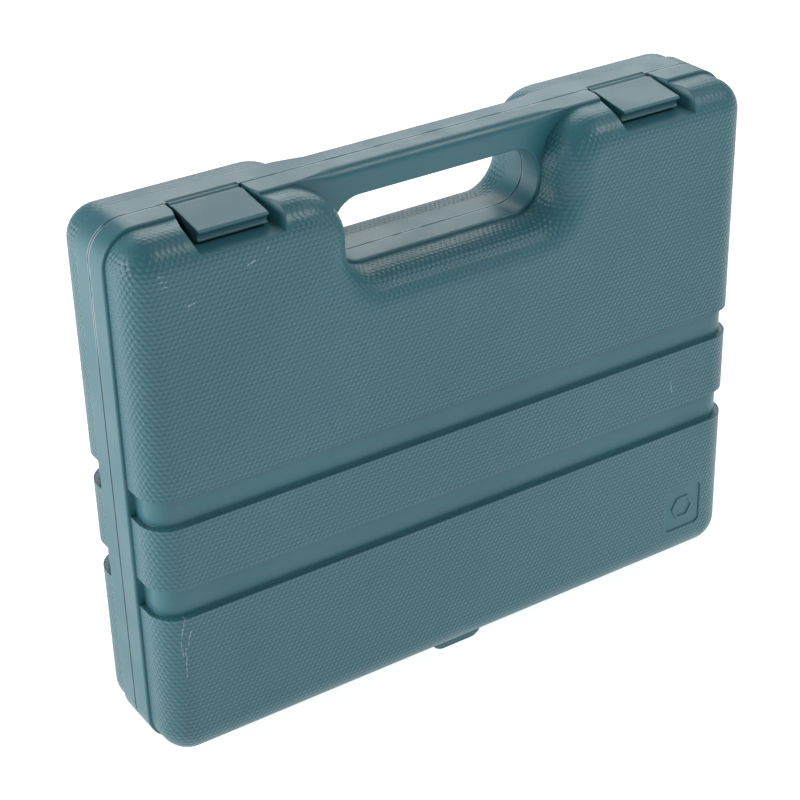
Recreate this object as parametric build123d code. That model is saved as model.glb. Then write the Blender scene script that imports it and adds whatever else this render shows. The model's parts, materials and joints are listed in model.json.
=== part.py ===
from build123d import *
import math
import os

# A blow-moulded carrying case with a half-inch-drive socket set inside, standing on its hinge edge.
# X runs across the case, Y through it (lid towards -Y, base towards +Y), Z up. Millimetres.
# The origin is on the floor, in the parting plane, midway across the case.

# ---- the two case halves
CASE_WIDTH = 350.0
RIM_BOTTOM = 7.0
RIM_TOP = 282.0
RIM_DEPTH = 13.5          # how far each half's smooth rim reaches from the parting plane
RIM_PROUD = 1.5           # the textured body is set in from the rim by this much
PARTING_GAP = 0.6
RIM_EDGE = 1.0            # rounding of the rim's outer edges
LID_DEPTH = 36.5
BASE_DEPTH = 36.5
CORNER_RADIUS = 16.0      # corners of the body seen from the front
EDGE_RADIUS = 15.0        # rounding between the sides and the big face
WALL = 2.2
LID, BASE = -1, 1         # which way from the parting plane a half reaches

# ---- handle opening and the recess round it
OPENING_HALF_WIDTH = 58.5
OPENING_BOTTOM = 234.5
OPENING_TOP = 267.0
OPENING_CORNER = 15.0
RECESS_HALF_WIDTH = OPENING_HALF_WIDTH + RIM_PROUD
RECESS_FLOOR = OPENING_BOTTOM - RIM_PROUD
LOBE_CORNER = 24.0        # the lobes' corners beside the recess
HANDLE_ROUNDING = 5.0
HANDLE_FADE = (58.0, 74.0)  # the rounding of the bar's edge dies away between these X

# ---- bands pressed into the body
GROOVES = ((91.0, 107.0), (140.3, 155.5))
GROOVE_DEPTH = 3.0

# ---- plaque
PLAQUE_CENTRE = (142.5, 41.0)
PLAQUE_SIZE = (24.0, 26.0)
PLAQUE_DEPTH = 0.7
PLAQUE_CORNER = 3.5
PLAQUE_MARK_RADIUS = 7.5
PLAQUE_MARK_WIDTH = 1.6

# ---- lugs the case stands on
LUG_DEPTH = (14.5, 21.5)
LUG_TOP = 10.5
LUG_CORNER = 7.5
LID_LUG_X = 2.0
LID_LUG_WIDTH = 32.0
BASE_LUG_WIDTH = 26.0
BASE_LUG_X = 52.0

# ---- hinge
HINGE_Z = 3.6
KNUCKLE_RADIUS = 3.6
KNUCKLE_RELIEF = 0.5
HINGE_X = 100.0
LID_KNUCKLE_HALF = 10.0
BASE_KNUCKLE_END = 25.0
KNUCKLE_GAP = 0.4
PIN_RADIUS = 1.6
RUNNING_FIT = 0.06

# ---- latches
LATCH_X = 117.0
LATCH_WIDTH = 35.0
LATCH_AXIS_Z = 280.4
BEAD_RADIUS = 1.4
SEAT_LEAN = 3.2           # how far the seat's slope leans back by the top of the rim
POCKET_FLOOR = 271.0
RIDGE_Y = -20.0           # small ridge under each latch, along X
RIDGE_RADIUS = 1.0
RIDGE_HALF_LENGTH = 14.0
# Y, half width at the floor, and how much wider at the top of the rim
POCKET_PLAN = ((4.0, 18.1, 1.0), (-8.0, 18.4, 1.3), (-24.0, 20.5, 4.0), (-45.0, 21.8, 5.9))
# side view of a latch as Y and height over its bead
LATCH_PROFILE = ((0.0, 0.7), (-3.0, 0.7), (-4.0, 1.3), (-26.6, -2.1), (-27.4, -2.5), (-27.7, -3.2),
                 (-26.2, -4.2), (-25.2, -5.5), (-25.5, -6.7), (-26.2, -7.3), (-26.1, -7.8), (-25.4, -8.0),
                 (-22.2, -8.0), (-7.5, -0.7), (0.0, -0.7))
# side view of the hollow under a latch
LATCH_HOLLOW = ((-11.0, -1.6), (-22.6, -3.3), (-22.6, -9.0), (-11.0, -9.0))
LATCH_HOLLOW_HALF_WIDTH = 15.5

# ---- tray
TRAY_FACE = 1.0           # front of the tray plate, just behind the parting plane
TRAY_WALL = 1.6
TRAY_INSET = 2.7
TRAY_SKIRT = 8.0
POCKET_PLAY = 0.5
POST_RADIUS = 4.0         # posts under the tray
POST_PLACES = [(x, z) for x in (-150, -95, 95, 150) for z in (203, 226)] + [(104, 29), (152, 29)]
PAD_RADIUS = 6.0          # pads behind the lid's lining
PAD_PLACES = [(x, z) for x in (-130, 0, 130) for z in (50, 200)]
LINER_GAP = 0.4           # room between the lid's shell and its lining

# ---- half-inch drive
SQUARE = 12.7
SQUARE_HOLE = 13.0
DRIVE_LENGTH = 11.5
BALL_RADIUS = 2.0
BALL_PROUD = 0.8
BALL_BORE = BALL_RADIUS + RUNNING_FIT

# ---- where the tools lie: X-Z positions and depths in the tray
SOCKET_SEAT = 28.5        # depth of the floor the sockets stand on
RATCHET_AT = (-142.0, 3.0, 37.0)
LONG_BAR_AT = (-38.0, 9.0, 72.0)
T_BAR_AT = (-38.0, 6.0, 99.0)
SHORT_BAR_AT = (0.0, 9.0, 212.0)
UNIVERSAL_AT = (127.0, 0.0, 56.0)
PLUG_SOCKET_X = 118.0
PLUG_SOCKET_Z = 251.0
PLUG_SOCKET_Y = 9.0
BIG_ROW_Z = 138.0
SMALL_ROW_Z = 180.0
ROW_REACH = 159.0          # a row of sockets ends this far from the middle

# size across flats, outer diameter and length of each socket
BIG_SOCKETS = ((32, 42.5, 46), (30, 40, 44), (27, 36, 42), (24, 32.5, 40),
               (22, 30, 40), (21, 29, 38), (20, 28, 38), (19, 26.5, 38))
SMALL_SOCKETS = ((18, 25, 38), (17, 24, 38), (16, 23, 38), (15, 22, 38), (14, 22, 38),
                 (13, 22, 38), (12, 22, 38), (11, 22, 38), (10, 22, 38))
# size, outer diameter and which side of the handle each spark-plug socket lies on
PLUG_SOCKETS = ((21, 28.0, -1), (16, 24.0, 1))
PLUG_SOCKET_LENGTH = 70.0
PLUG_FINGER_ROOM = 10.0   # room in the pocket past a spark-plug socket's mouth

# ---- ratchet, about its own axis: Y along the drive, X towards the grip
HEAD_RADIUS = 20.0
HEAD_FRONT = -10.0        # cover side of the head
HEAD_BACK = 12.0          # drive side of the head
HEEL_X = 24.0
HEEL_RADIUS = 14.0
SHANK_RADIUS = 7.0
TANG_RADIUS = 5.5
GRIP_START = 120.0
GRIP_END = 230.0
GRIP_RADIUS = 14.5
COVER_THICKNESS = 1.8
GEAR_TIP = 12.0
GEAR_TEETH = 36
CHAMBER_RADIUS = 13.0
JOURNAL_RADIUS = 10.0
COLLAR_RADIUS = 7.0
PAWL_INNER = GEAR_TIP + 0.35
PAWL_OUTER = 17.4
PAWL_HALF_ANGLE = 30.0
PAWL_SWING = 6.0
LEVER_SHAFT = 3.5
STEM_RADIUS = 2.0
BUTTON_RADIUS = 4.8
BALL_STEP = 5.8           # from the shoulder of a drive square to its detent ball
SCREW_RADIUS = 1.2
SCREW_PLACES = ((-8.2, 14.2), (-8.2, -14.2), (33.0, 0.0))

# ---- extension bars
BAR_RADIUS = 7.0
BAR_END_RADIUS = 11.0

# ---- sliding T-bar
T_BAR_LENGTH = 250.0
T_BAR_RADIUS = 6.0
T_BAR_TRAVEL = 98.0
SLIDER_RADIUS = 12.5
SLIDER_FRONT = -10.0
SLIDER_BACK = 12.0
STOP_RADIUS = 1.8

# ---- universal joint
YOKE_RADIUS = 11.5
YOKE_FACE = 15.0          # distance from the joint's centre to the solid part of a yoke
YOKE_TAIL = 37.0
YOKE_HEAD = 32.0
EAR_GAP = 7.0
EAR_HALF_WIDTH = 6.0
CROSS_HALF = 6.3
CROSS_PIN = 2.5


# ------------------------------------------------------------------ shared shapes
def upright(y):
    """Plane facing -Y whose sketch axes are world X and world Z."""
    return Plane(origin=(0, y, 0), x_dir=(1, 0, 0), z_dir=(0, -1, 0))


def prism(profile, y_from, y_to):
    """Carry an X-Z profile from one depth to another."""
    way = 1 if y_to > y_from else -1
    return extrude(upright(y_from) * profile, amount=abs(y_to - y_from), dir=(0, way, 0))


def rod_x(radius, x_from, x_to, y, z):
    """Cylinder lying along X."""
    centre = ((x_from + x_to) / 2, y, z)
    return Pos(*centre) * Rot(0, 90, 0) * Cylinder(radius, x_to - x_from)


def rod_y(radius, y_from, y_to, x, z):
    """Cylinder lying along Y."""
    centre = (x, (y_from + y_to) / 2, z)
    return Pos(*centre) * Rot(90, 0, 0) * Cylinder(radius, y_to - y_from)


def block(x, y, z):
    """Box given as three (from, to) ranges."""
    size = [high - low for low, high in (x, y, z)]
    centre = [(high + low) / 2 for low, high in (x, y, z)]
    return Pos(*centre) * Box(*size)


def rectangle(x, z, radius=0.0):
    """X-Z rectangle given as two (from, to) ranges, with rounded corners when asked."""
    width, height = x[1] - x[0], z[1] - z[0]
    centre = ((x[0] + x[1]) / 2, (z[0] + z[1]) / 2)
    if radius:
        return Pos(*centre) * RectangleRounded(width, height, radius)
    return Pos(*centre) * Rectangle(width, height)


def turned(points):
    """Solid of revolution about Z from (radius, height) points."""
    outline = Polyline(*[(r, 0, z) for r, z in points], close=True)
    return revolve(make_face(outline), axis=Axis.Z)


def joined(solids):
    """Fuse a list of solids."""
    first, *others = solids
    return first + others if others else first


def save(node, shape):
    """Write one named piece."""
    shape.label = node
    export_step(shape, f"parts/{node}.step")


# ------------------------------------------------------------------ case halves
def body_outline():
    """Front view of the textured body: a rounded rectangle with the handle recess in its top."""
    side = CASE_WIDTH / 2 - RIM_PROUD
    bottom = RIM_BOTTOM + RIM_PROUD
    top = RIM_TOP - RIM_PROUD
    corners = [(-side, bottom), (side, bottom), (side, top), (RECESS_HALF_WIDTH, top),
               (RECESS_HALF_WIDTH, RECESS_FLOOR), (-RECESS_HALF_WIDTH, RECESS_FLOOR),
               (-RECESS_HALF_WIDTH, top), (-side, top)]
    outline = make_face(Polyline(*corners, close=True))
    outline = fillet(outline.vertices().filter_by(is_lobe_corner), LOBE_CORNER)
    sharp = [vertex for vertex in outline.vertices() if any(is_at(vertex, corner) for corner in corners)]
    return fillet(sharp, CORNER_RADIUS)


def is_at(vertex, place):
    """Whether a sketch vertex lies at the given place."""
    return math.hypot(vertex.X - place[0], vertex.Y - place[1]) < 0.01


def is_lobe_corner(vertex):
    """Whether a vertex of the body's outline is a lobe's top corner beside the recess."""
    return is_at(vertex, (math.copysign(RECESS_HALF_WIDTH, vertex.X), RIM_TOP - RIM_PROUD))


def rim_outline(inset):
    """Front view of the smooth rim with the handle opening, shrunk by the inset."""
    half = CASE_WIDTH / 2 - inset
    outer = rectangle((-half, half), (RIM_BOTTOM + inset, RIM_TOP - inset), CORNER_RADIUS + RIM_PROUD - inset)
    reach = OPENING_HALF_WIDTH + inset
    height = (OPENING_BOTTOM - inset, OPENING_TOP + inset)
    opening = rectangle((-reach, reach), height, OPENING_CORNER + inset)
    return outer - opening


def plain_body(side, depth, inset):
    """The body without its pressed bands, shrunk by the inset, open at the parting plane."""
    outline = offset(body_outline(), amount=-inset) if inset else body_outline()
    solid = prism(outline, 0, side * (depth - inset))
    far_face = solid.faces().sort_by(Axis.Y)[0 if side == LID else -1]
    return fillet(far_face.edges(), EDGE_RADIUS - inset)


def grooved_body(side, depth, inset):
    """The body with its pressed bands, everything shrunk by the inset."""
    solid = plain_body(side, depth, inset)
    core = plain_body(side, depth, inset + GROOVE_DEPTH)
    for low, high in GROOVES:
        band = block((-CASE_WIDTH, CASE_WIDTH), sorted((side * (RIM_DEPTH - inset), side * 2 * depth)),
                     (low - inset, high + inset))
        solid -= band - core
    return solid


def half_form(side, depth, inset):
    """Rim and body of one half as a solid block, shrunk by the inset."""
    start = side * PARTING_GAP / 2 if inset == 0 else 0
    rim = prism(rim_outline(inset), start, side * (RIM_DEPTH - inset))
    body = grooved_body(side, depth, inset)
    if inset == 0:
        far_face = rim.faces().sort_by(Axis.Y)[0 if side == LID else -1]
        rim = fillet(far_face.edges(), RIM_EDGE)
        rim -= handle_trimmer(side)
        body -= block((-CASE_WIDTH, CASE_WIDTH), (-PARTING_GAP / 2, PARTING_GAP / 2), (0, 2 * RIM_TOP))
    return rim + body


def edge_section(side, x, radius):
    """Cross-section at one X of what rounding the bar's outer top edge takes away."""
    plane = Plane(origin=(x, 0, 0), x_dir=(0, 1, 0), z_dir=(1, 0, 0))
    y, z = side * RIM_DEPTH, RIM_TOP
    spare = 0.5
    on_top = (y - side * radius, z)
    on_face = (y, z - radius)
    middle = (y - side * radius * (1 - math.sqrt(0.5)), z - radius * (1 - math.sqrt(0.5)))
    corners = Polyline(on_face, (y + side * spare, z - radius), (y + side * spare, z + spare),
                       (y - side * radius, z + spare), on_top)
    return plane * make_face([corners, ThreePointArc(on_top, middle, on_face)])


def handle_trimmer(side):
    """Material to take off the rim so the handle bar's outer top edge is rounded, dying away at its ends."""
    near, far = HANDLE_FADE
    middle = extrude(edge_section(side, -near, HANDLE_ROUNDING), amount=2 * near, dir=(1, 0, 0))
    fades = [loft([edge_section(side, way * near, HANDLE_ROUNDING), edge_section(side, way * far, RIM_EDGE)])
             for way in (-1, 1)]
    return [middle] + fades


def pocket_plan(centre, grow, z):
    """Outline of a latch pocket at one height."""
    rise = (z - POCKET_FLOOR) / (RIM_TOP - POCKET_FLOOR)
    halves = [(y, half + grow + rise * flare) for y, half, flare in POCKET_PLAN]
    right = [(centre + half, y) for y, half in halves]
    left = [(centre - half, y) for y, half in reversed(halves)]
    return Plane.XY.offset(z) * Polygon(*right, *left, align=None)


def latch_pocket(centre, grow):
    """Room in the lid under one latch: a flat floor and sides that flare forwards and upwards."""
    heights = (POCKET_FLOOR - grow, RIM_TOP + 10)
    return loft([pocket_plan(centre, grow, z) for z in heights], ruled=True)


def lug(side, centre, width):
    """Rounded tab under a half that the case stands on."""
    outline = rectangle((centre - width / 2, centre + width / 2), (0, 2 * LUG_TOP), LUG_CORNER)
    near, far = LUG_DEPTH
    return prism(outline, side * near, side * far) & block((-CASE_WIDTH, CASE_WIDTH), (-99, 99), (0, LUG_TOP))


def knuckle(side, x_from, x_to):
    """One hinge knuckle with the web that ties it to its rim."""
    barrel = rod_x(KNUCKLE_RADIUS, x_from, x_to, 0, HINGE_Z)
    web = block((x_from, x_to), sorted((side * 0.3, side * KNUCKLE_RADIUS)), (HINGE_Z, RIM_BOTTOM + 1))
    return barrel + web


def lid_knuckle_spans():
    """X ranges of the lid's knuckles."""
    return [(centre - LID_KNUCKLE_HALF, centre + LID_KNUCKLE_HALF) for centre in (-HINGE_X, HINGE_X)]


def base_knuckle_spans():
    """X ranges of the base's knuckles, one at each end of every lid knuckle."""
    inner = LID_KNUCKLE_HALF + KNUCKLE_GAP
    spans = []
    for centre in (-HINGE_X, HINGE_X):
        spans.append((centre - BASE_KNUCKLE_END, centre - inner))
        spans.append((centre + inner, centre + BASE_KNUCKLE_END))
    return spans


def knuckle_reliefs(spans):
    """Room for the other half's knuckles to turn in."""
    radius = KNUCKLE_RADIUS + KNUCKLE_RELIEF
    return [rod_x(radius, low - KNUCKLE_GAP, high + KNUCKLE_GAP, 0, HINGE_Z) for low, high in spans]


def hinge_bores(radius):
    """The holes through all knuckles of one half."""
    reach = BASE_KNUCKLE_END + 1
    return [rod_x(radius, centre - reach, centre + reach, 0, HINGE_Z) for centre in (-HINGE_X, HINGE_X)]


def lid_form(inset):
    """The lid as a block with the latch pockets taken out, shrunk by the inset."""
    solid = half_form(LID, LID_DEPTH, inset)
    for centre in (-LATCH_X, LATCH_X):
        solid -= latch_pocket(centre, inset)
    return solid


def lid_shell():
    """Outer skin of the lid with its lug, hinge knuckles, plaque and latch ridges."""
    shell = lid_form(0) - lid_form(WALL)
    shell += lug(LID, LID_LUG_X, LID_LUG_WIDTH)
    shell -= knuckle_reliefs(base_knuckle_spans())
    shell += [knuckle(LID, low, high) for low, high in lid_knuckle_spans()]
    shell -= hinge_bores(PIN_RADIUS + RUNNING_FIT)
    for centre in (-LATCH_X, LATCH_X):
        ends = (centre - RIDGE_HALF_LENGTH, centre + RIDGE_HALF_LENGTH)
        shell += rod_x(RIDGE_RADIUS, *ends, RIDGE_Y, POCKET_FLOOR)
    return shell - plaque_recess() + plaque_mark()


def plaque_recess():
    """Shallow rounded square pressed into the lid's face."""
    x, z = PLAQUE_CENTRE
    width, height = PLAQUE_SIZE
    outline = rectangle((x - width / 2, x + width / 2), (z - height / 2, z + height / 2), PLAQUE_CORNER)
    return prism(outline, -LID_DEPTH + PLAQUE_DEPTH, -2 * LID_DEPTH)


def plaque_mark():
    """Raised hexagon ring standing in the plaque."""
    ring = RegularPolygon(PLAQUE_MARK_RADIUS, 6) - RegularPolygon(PLAQUE_MARK_RADIUS - PLAQUE_MARK_WIDTH, 6)
    return prism(Pos(*PLAQUE_CENTRE) * ring, -LID_DEPTH + 2 * PLAQUE_DEPTH, -LID_DEPTH + 0.1)


def base_shell():
    """Outer skin of the base with its lugs, hinge knuckles and the grooves the latches turn in."""
    cavity = half_form(BASE, BASE_DEPTH, WALL)
    seat_half = LATCH_WIDTH / 2 + 2.5
    for centre in (-LATCH_X, LATCH_X):
        cavity -= block((centre - seat_half, centre + seat_half), (0, 5.5), (LATCH_AXIS_Z - 4, RIM_TOP))
    shell = half_form(BASE, BASE_DEPTH, 0) - cavity
    for centre in (-LATCH_X, LATCH_X):
        shell -= latch_seat(centre)
    for centre in (-BASE_LUG_X, BASE_LUG_X):
        shell += lug(BASE, centre, BASE_LUG_WIDTH)
    shell -= knuckle_reliefs(lid_knuckle_spans())
    shell += [knuckle(BASE, low, high) for low, high in base_knuckle_spans()]
    shell -= hinge_bores(PIN_RADIUS)
    return shell


def latch_seat(centre):
    """Round groove for a latch bead in the base's top edge, with a slope the open latch leans past."""
    half = LATCH_WIDTH / 2 + 0.4
    groove_radius = BEAD_RADIUS + RUNNING_FIT
    groove = rod_x(groove_radius, centre - half, centre + half, 0, LATCH_AXIS_Z)
    over_rim = RIM_TOP + 1
    slope = Polyline((0, LATCH_AXIS_Z), (groove_radius, LATCH_AXIS_Z), (SEAT_LEAN, over_rim), (0, over_rim),
                     close=True)
    wedge_plane = Plane(origin=(centre - half, 0, 0), x_dir=(0, 1, 0), z_dir=(1, 0, 0))
    wedge = extrude(wedge_plane * make_face(slope), amount=2 * half)
    return groove + wedge


def hinge_pins():
    """Steel pins, one through each group of knuckles."""
    reach = BASE_KNUCKLE_END - 0.5
    spans = [(centre - reach, centre + reach) for centre in (-HINGE_X, HINGE_X)]
    return Compound([rod_x(PIN_RADIUS, low, high, 0, HINGE_Z) for low, high in spans])


def side_view(x, profile):
    """Face across X from (Y, height over the latch's bead) points."""
    plane = Plane(origin=(x, 0, 0), x_dir=(0, 1, 0), z_dir=(1, 0, 0))
    return plane * make_face(Polyline(*[(y, LATCH_AXIS_Z + z) for y, z in profile], close=True))


def latch(centre):
    """Hollow flap that turns on a bead in the base's edge and ends in a lip over the lid's pocket."""
    half = LATCH_WIDTH / 2
    strap = extrude(side_view(centre - half, LATCH_PROFILE), amount=LATCH_WIDTH)
    hollow_from = centre - LATCH_HOLLOW_HALF_WIDTH
    strap -= extrude(side_view(hollow_from, LATCH_HOLLOW), amount=2 * LATCH_HOLLOW_HALF_WIDTH)
    return strap + rod_x(BEAD_RADIUS, centre - half, centre + half, 0, LATCH_AXIS_Z)


# ------------------------------------------------------------------ lining of the lid
def lid_liner():
    """Inner skin of the lid, following the shell, on round pads that reach the shell."""
    outer = WALL + LINER_GAP
    inner = outer + TRAY_WALL
    front = block((-CASE_WIDTH, CASE_WIDTH), (-TRAY_FACE, TRAY_FACE), (0, 2 * RIM_TOP))
    liner = lid_form(outer) - lid_form(inner) - front
    shell_inside = -(LID_DEPTH - WALL)
    liner_inside = -(LID_DEPTH - inner) - 0.8
    pads = [rod_y(PAD_RADIUS, shell_inside, liner_inside, x, z) for x, z in PAD_PLACES]
    return liner + pads


# ------------------------------------------------------------------ tray
def tray_outline():
    """Front view of the tray: the base's inside, clear of the handle opening and the latch seats."""
    half = CASE_WIDTH / 2 - TRAY_INSET
    outer = rectangle((-half, half), (RIM_BOTTOM + TRAY_INSET, RIM_TOP - TRAY_INSET), CORNER_RADIUS - 2)
    reach = OPENING_HALF_WIDTH + TRAY_INSET
    notch = rectangle((-reach, reach), (OPENING_BOTTOM - TRAY_INSET, 2 * RIM_TOP))
    seat_half = LATCH_WIDTH / 2 + 3.0
    seats = [rectangle((centre - seat_half, centre + seat_half), (LATCH_AXIS_Z - 4.5, 2 * RIM_TOP))
             for centre in (-LATCH_X, LATCH_X)]
    return outer - notch - seats


def pocket_list():
    """Every pocket as (X-Z profile, depth of its floor)."""
    pockets = []
    for x, radius, z in socket_places():
        pockets.append((Pos(x, z) * Circle(radius + POCKET_PLAY), SOCKET_SEAT))
    pockets += ratchet_pockets() + bar_pockets(LONG_BAR_AT, 250) + bar_pockets(SHORT_BAR_AT, 125)
    pockets += t_bar_pockets() + universal_pockets()
    for size, diameter, side in PLUG_SOCKETS:
        reach = PLUG_SOCKET_LENGTH / 2 + POCKET_PLAY
        width = diameter / 2 + POCKET_PLAY
        centre = side * PLUG_SOCKET_X
        ends = (centre - reach, centre + reach + PLUG_FINGER_ROOM)
        profile = rectangle(ends, (PLUG_SOCKET_Z - width, PLUG_SOCKET_Z + width))
        pockets.append((profile, PLUG_SOCKET_Y + width))
    return pockets


def socket_row(sizes, z):
    """Centres of a row of sockets, spaced evenly across the tray."""
    usable = 2 * ROW_REACH
    gap = (usable - sum(diameter for _, diameter, _ in sizes)) / (len(sizes) - 1)
    places = []
    x = -usable / 2
    for size, diameter, length in sizes:
        places.append((size, diameter, length, x + diameter / 2, z))
        x += diameter + gap
    return places


def all_sockets():
    """Both rows of sockets as (size, diameter, length, x, z)."""
    return socket_row(BIG_SOCKETS, BIG_ROW_Z) + socket_row(SMALL_SOCKETS, SMALL_ROW_Z)


def socket_places():
    """Centre and radius of every socket pocket."""
    return [(x, diameter / 2, z) for _, diameter, _, x, z in all_sockets()]


def ratchet_pockets():
    """Room for the ratchet's head, its shank and its grip."""
    x, y, z = RATCHET_AT
    head = Pos(x, z) * Circle(HEAD_RADIUS + POCKET_PLAY)
    neck = Pos(x, z) * offset(pear(0), amount=POCKET_PLAY)
    shank = rectangle((x + HEEL_X, x + GRIP_START + 1), (z - SHANK_RADIUS - 1, z + SHANK_RADIUS + 1))
    grip = rectangle((x + GRIP_START - 1, x + GRIP_END + 1), (z - GRIP_RADIUS - 0.6, z + GRIP_RADIUS + 0.6))
    return [(head, SOCKET_SEAT), (neck, y + HEAD_BACK + 0.6), (shank, y + SHANK_RADIUS + 1),
            (grip, y + GRIP_RADIUS + 0.6)]


def bar_pockets(centre, length):
    """Room for an extension bar lying along X."""
    x, y, z = centre
    reach = length / 2 + POCKET_PLAY
    width = BAR_END_RADIUS + POCKET_PLAY
    return [(rectangle((x - reach, x + reach), (z - width, z + width)), y + width)]


def t_bar_pockets():
    """A long well the slider can travel in, with a cradle for each end of the rod."""
    x, y, z = T_BAR_AT
    travel = T_BAR_TRAVEL + SLIDER_RADIUS + 1
    well = rectangle((x - travel, x + travel), (z - SLIDER_RADIUS - 0.8, z + SLIDER_RADIUS + 0.8))
    reach = T_BAR_LENGTH / 2 + POCKET_PLAY
    width = T_BAR_RADIUS + POCKET_PLAY
    cradle = rectangle((x - reach, x + reach), (z - width, z + width))
    return [(well, SOCKET_SEAT + 1), (cradle, y + width)]


def universal_pockets():
    """A cradle for the fixed yoke and a wide well the other yoke can swing in."""
    x, y, z = UNIVERSAL_AT
    width = YOKE_RADIUS + POCKET_PLAY
    cradle = rectangle((x - width, x + width), (z - YOKE_TAIL - 1, z - 10))
    well = rectangle((x - 30, x + 30), (z - 12, z + 40), 4)
    return [(cradle, y + width), (well, SOCKET_SEAT + 1)]


def base_tray():
    """Moulded tray: a plate with a thin-walled pocket for every tool and posts down to the shell."""
    pockets = pocket_list()
    plate_back = TRAY_FACE + TRAY_WALL
    outline = tray_outline()
    tray = prism(outline, TRAY_FACE, plate_back)
    skirt = outline - offset(outline, amount=-TRAY_WALL)
    tray += prism(skirt, TRAY_FACE, TRAY_FACE + TRAY_SKIRT)
    for profile, floor in pockets:
        tray += prism(offset(profile, amount=TRAY_WALL), TRAY_FACE, floor + TRAY_WALL)
    tray += [rod_y(POST_RADIUS, TRAY_FACE, BASE_DEPTH - WALL, x, z) for x, z in POST_PLACES]
    for profile, floor in pockets:
        tray -= prism(profile, TRAY_FACE - 1, floor)
    return tray


# ------------------------------------------------------------------ sockets
def hexagon_hole(size, twelve_points=True):
    """Cutting profile for a nut of the given size across flats."""
    corner_radius = (size + 0.2) / math.sqrt(3)
    hexagon = RegularPolygon(corner_radius, 6)
    return hexagon + Rot(0, 0, 30) * hexagon if twelve_points else hexagon


def socket(size, diameter, length):
    """Socket standing on its drive end at the origin with its mouth towards +Z."""
    drive_height = 18.0
    mouth_radius = min(diameter / 2, size * 0.62 + 2.6)
    r = diameter / 2
    profile = [(0, 0), (r - 0.8, 0), (r, 0.8), (r, 5.0), (r - 0.5, 5.5), (r - 0.5, 7.5), (r, 8.0),
               (r, drive_height), (mouth_radius, drive_height + 4), (mouth_radius, length - 0.8),
               (mouth_radius - 0.8, length), (0, length)]
    solid = turned(profile)
    solid -= extrude(Rectangle(SQUARE_HOLE, SQUARE_HOLE), amount=16.0)
    solid -= Cylinder(min(size * 0.32, 6.0), 2 * length)
    nut_depth = length - 19.0
    solid -= Pos(0, 0, length - nut_depth) * extrude(hexagon_hole(size), amount=nut_depth)
    solid -= Pos(0, 0, 8.5) * Rot(0, 90, 0) * Cylinder(BALL_RADIUS + 0.3, SQUARE_HOLE + 2.4)
    return solid


def plug_socket(size, diameter):
    """Long spark-plug socket along +X from its drive end at the origin."""
    length = PLUG_SOCKET_LENGTH
    r = diameter / 2
    profile = [(0, 0), (r - 0.8, 0), (r, 0.8), (r, 6.0), (r - 0.6, 6.6), (r - 0.6, 9.4), (r, 10.0),
               (r, length - 0.8), (r - 0.8, length), (0, length)]
    solid = turned(profile)
    solid -= extrude(Rectangle(SQUARE_HOLE, SQUARE_HOLE), amount=16.0)
    solid -= Cylinder(5.0, 60)
    solid -= Pos(0, 0, 18) * extrude(hexagon_hole(size, twelve_points=False), amount=length)
    return Rot(0, 90, 0) * solid


def plug_insert(size):
    """Rubber ring that grips the spark plug, half way down the socket."""
    ring = Cylinder(size / 2, 12) - Cylinder(size / 2 - 3.2, 20)
    return Rot(0, 90, 0) * Pos(0, 0, 36) * ring


# ------------------------------------------------------------------ ratchet
def pear(shrink):
    """Outline of the ratchet head, wide round the gear and narrowing to the heel."""
    big = HEAD_RADIUS - shrink
    small = HEEL_RADIUS - shrink
    lean = math.asin((big - small) / HEEL_X)
    near = (big * math.sin(lean), big * math.cos(lean))
    far = (HEEL_X + small * math.sin(lean), small * math.cos(lean))
    cheeks = Polygon((near[0], near[1]), (near[0], -near[1]), (far[0], -far[1]), (far[0], far[1]), align=None)
    return Circle(big) + Pos(HEEL_X, 0) * Circle(small) + cheeks


def ratchet_body():
    """Forged head, shank and tang, with the chamber for gear, pawl and lever."""
    body = prism(pear(0), HEAD_FRONT, HEAD_BACK)
    outline_edges = body.edges().filter_by(lambda edge: abs(edge.bounding_box().size.Y) < 0.01)
    body = fillet(outline_edges.filter_by(lambda edge: edge.center().Y > 0), 1.2)
    body += rod_x(SHANK_RADIUS, HEEL_X, GRIP_START, 0, 0)
    body += rod_x(TANG_RADIUS, GRIP_START, GRIP_END - 8, 0, 0)
    body -= prism(pear(1.0), HEAD_FRONT, HEAD_FRONT + COVER_THICKNESS)
    chamber_front = HEAD_FRONT + COVER_THICKNESS
    chamber = rod_y(CHAMBER_RADIUS, chamber_front, 8, 0, 0)
    sweep_angle = PAWL_HALF_ANGLE + PAWL_SWING + 2
    chamber += prism(sector(0, PAWL_OUTER + 0.35, sweep_angle), chamber_front, 5.5)
    chamber += block((10, HEEL_X + 5), (chamber_front, 5.5), (-7, 7))
    body -= chamber
    body -= rod_y(JOURNAL_RADIUS + RUNNING_FIT, 0, 20, 0, 0)
    body -= rod_y(LEVER_SHAFT - 1 + RUNNING_FIT, 0, 9, HEEL_X, 0)
    return body - screw_holes(SCREW_RADIUS)


def sector(inner, outer, half_angle):
    """Ring segment round the origin, opening towards +X."""
    reach = 2 * outer
    angle = math.radians(half_angle)
    fan = Polygon((0, 0), (reach * math.cos(angle), -reach * math.sin(angle)), (reach, 0),
                  (reach * math.cos(angle), reach * math.sin(angle)), align=None)
    ring = Circle(outer) - Circle(inner) if inner else Circle(outer)
    return ring & fan


def screw_holes(radius):
    """Holes for the cover screws."""
    return [rod_y(radius, HEAD_FRONT - 1, HEAD_FRONT + 8, x, z) for x, z in SCREW_PLACES]


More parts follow.
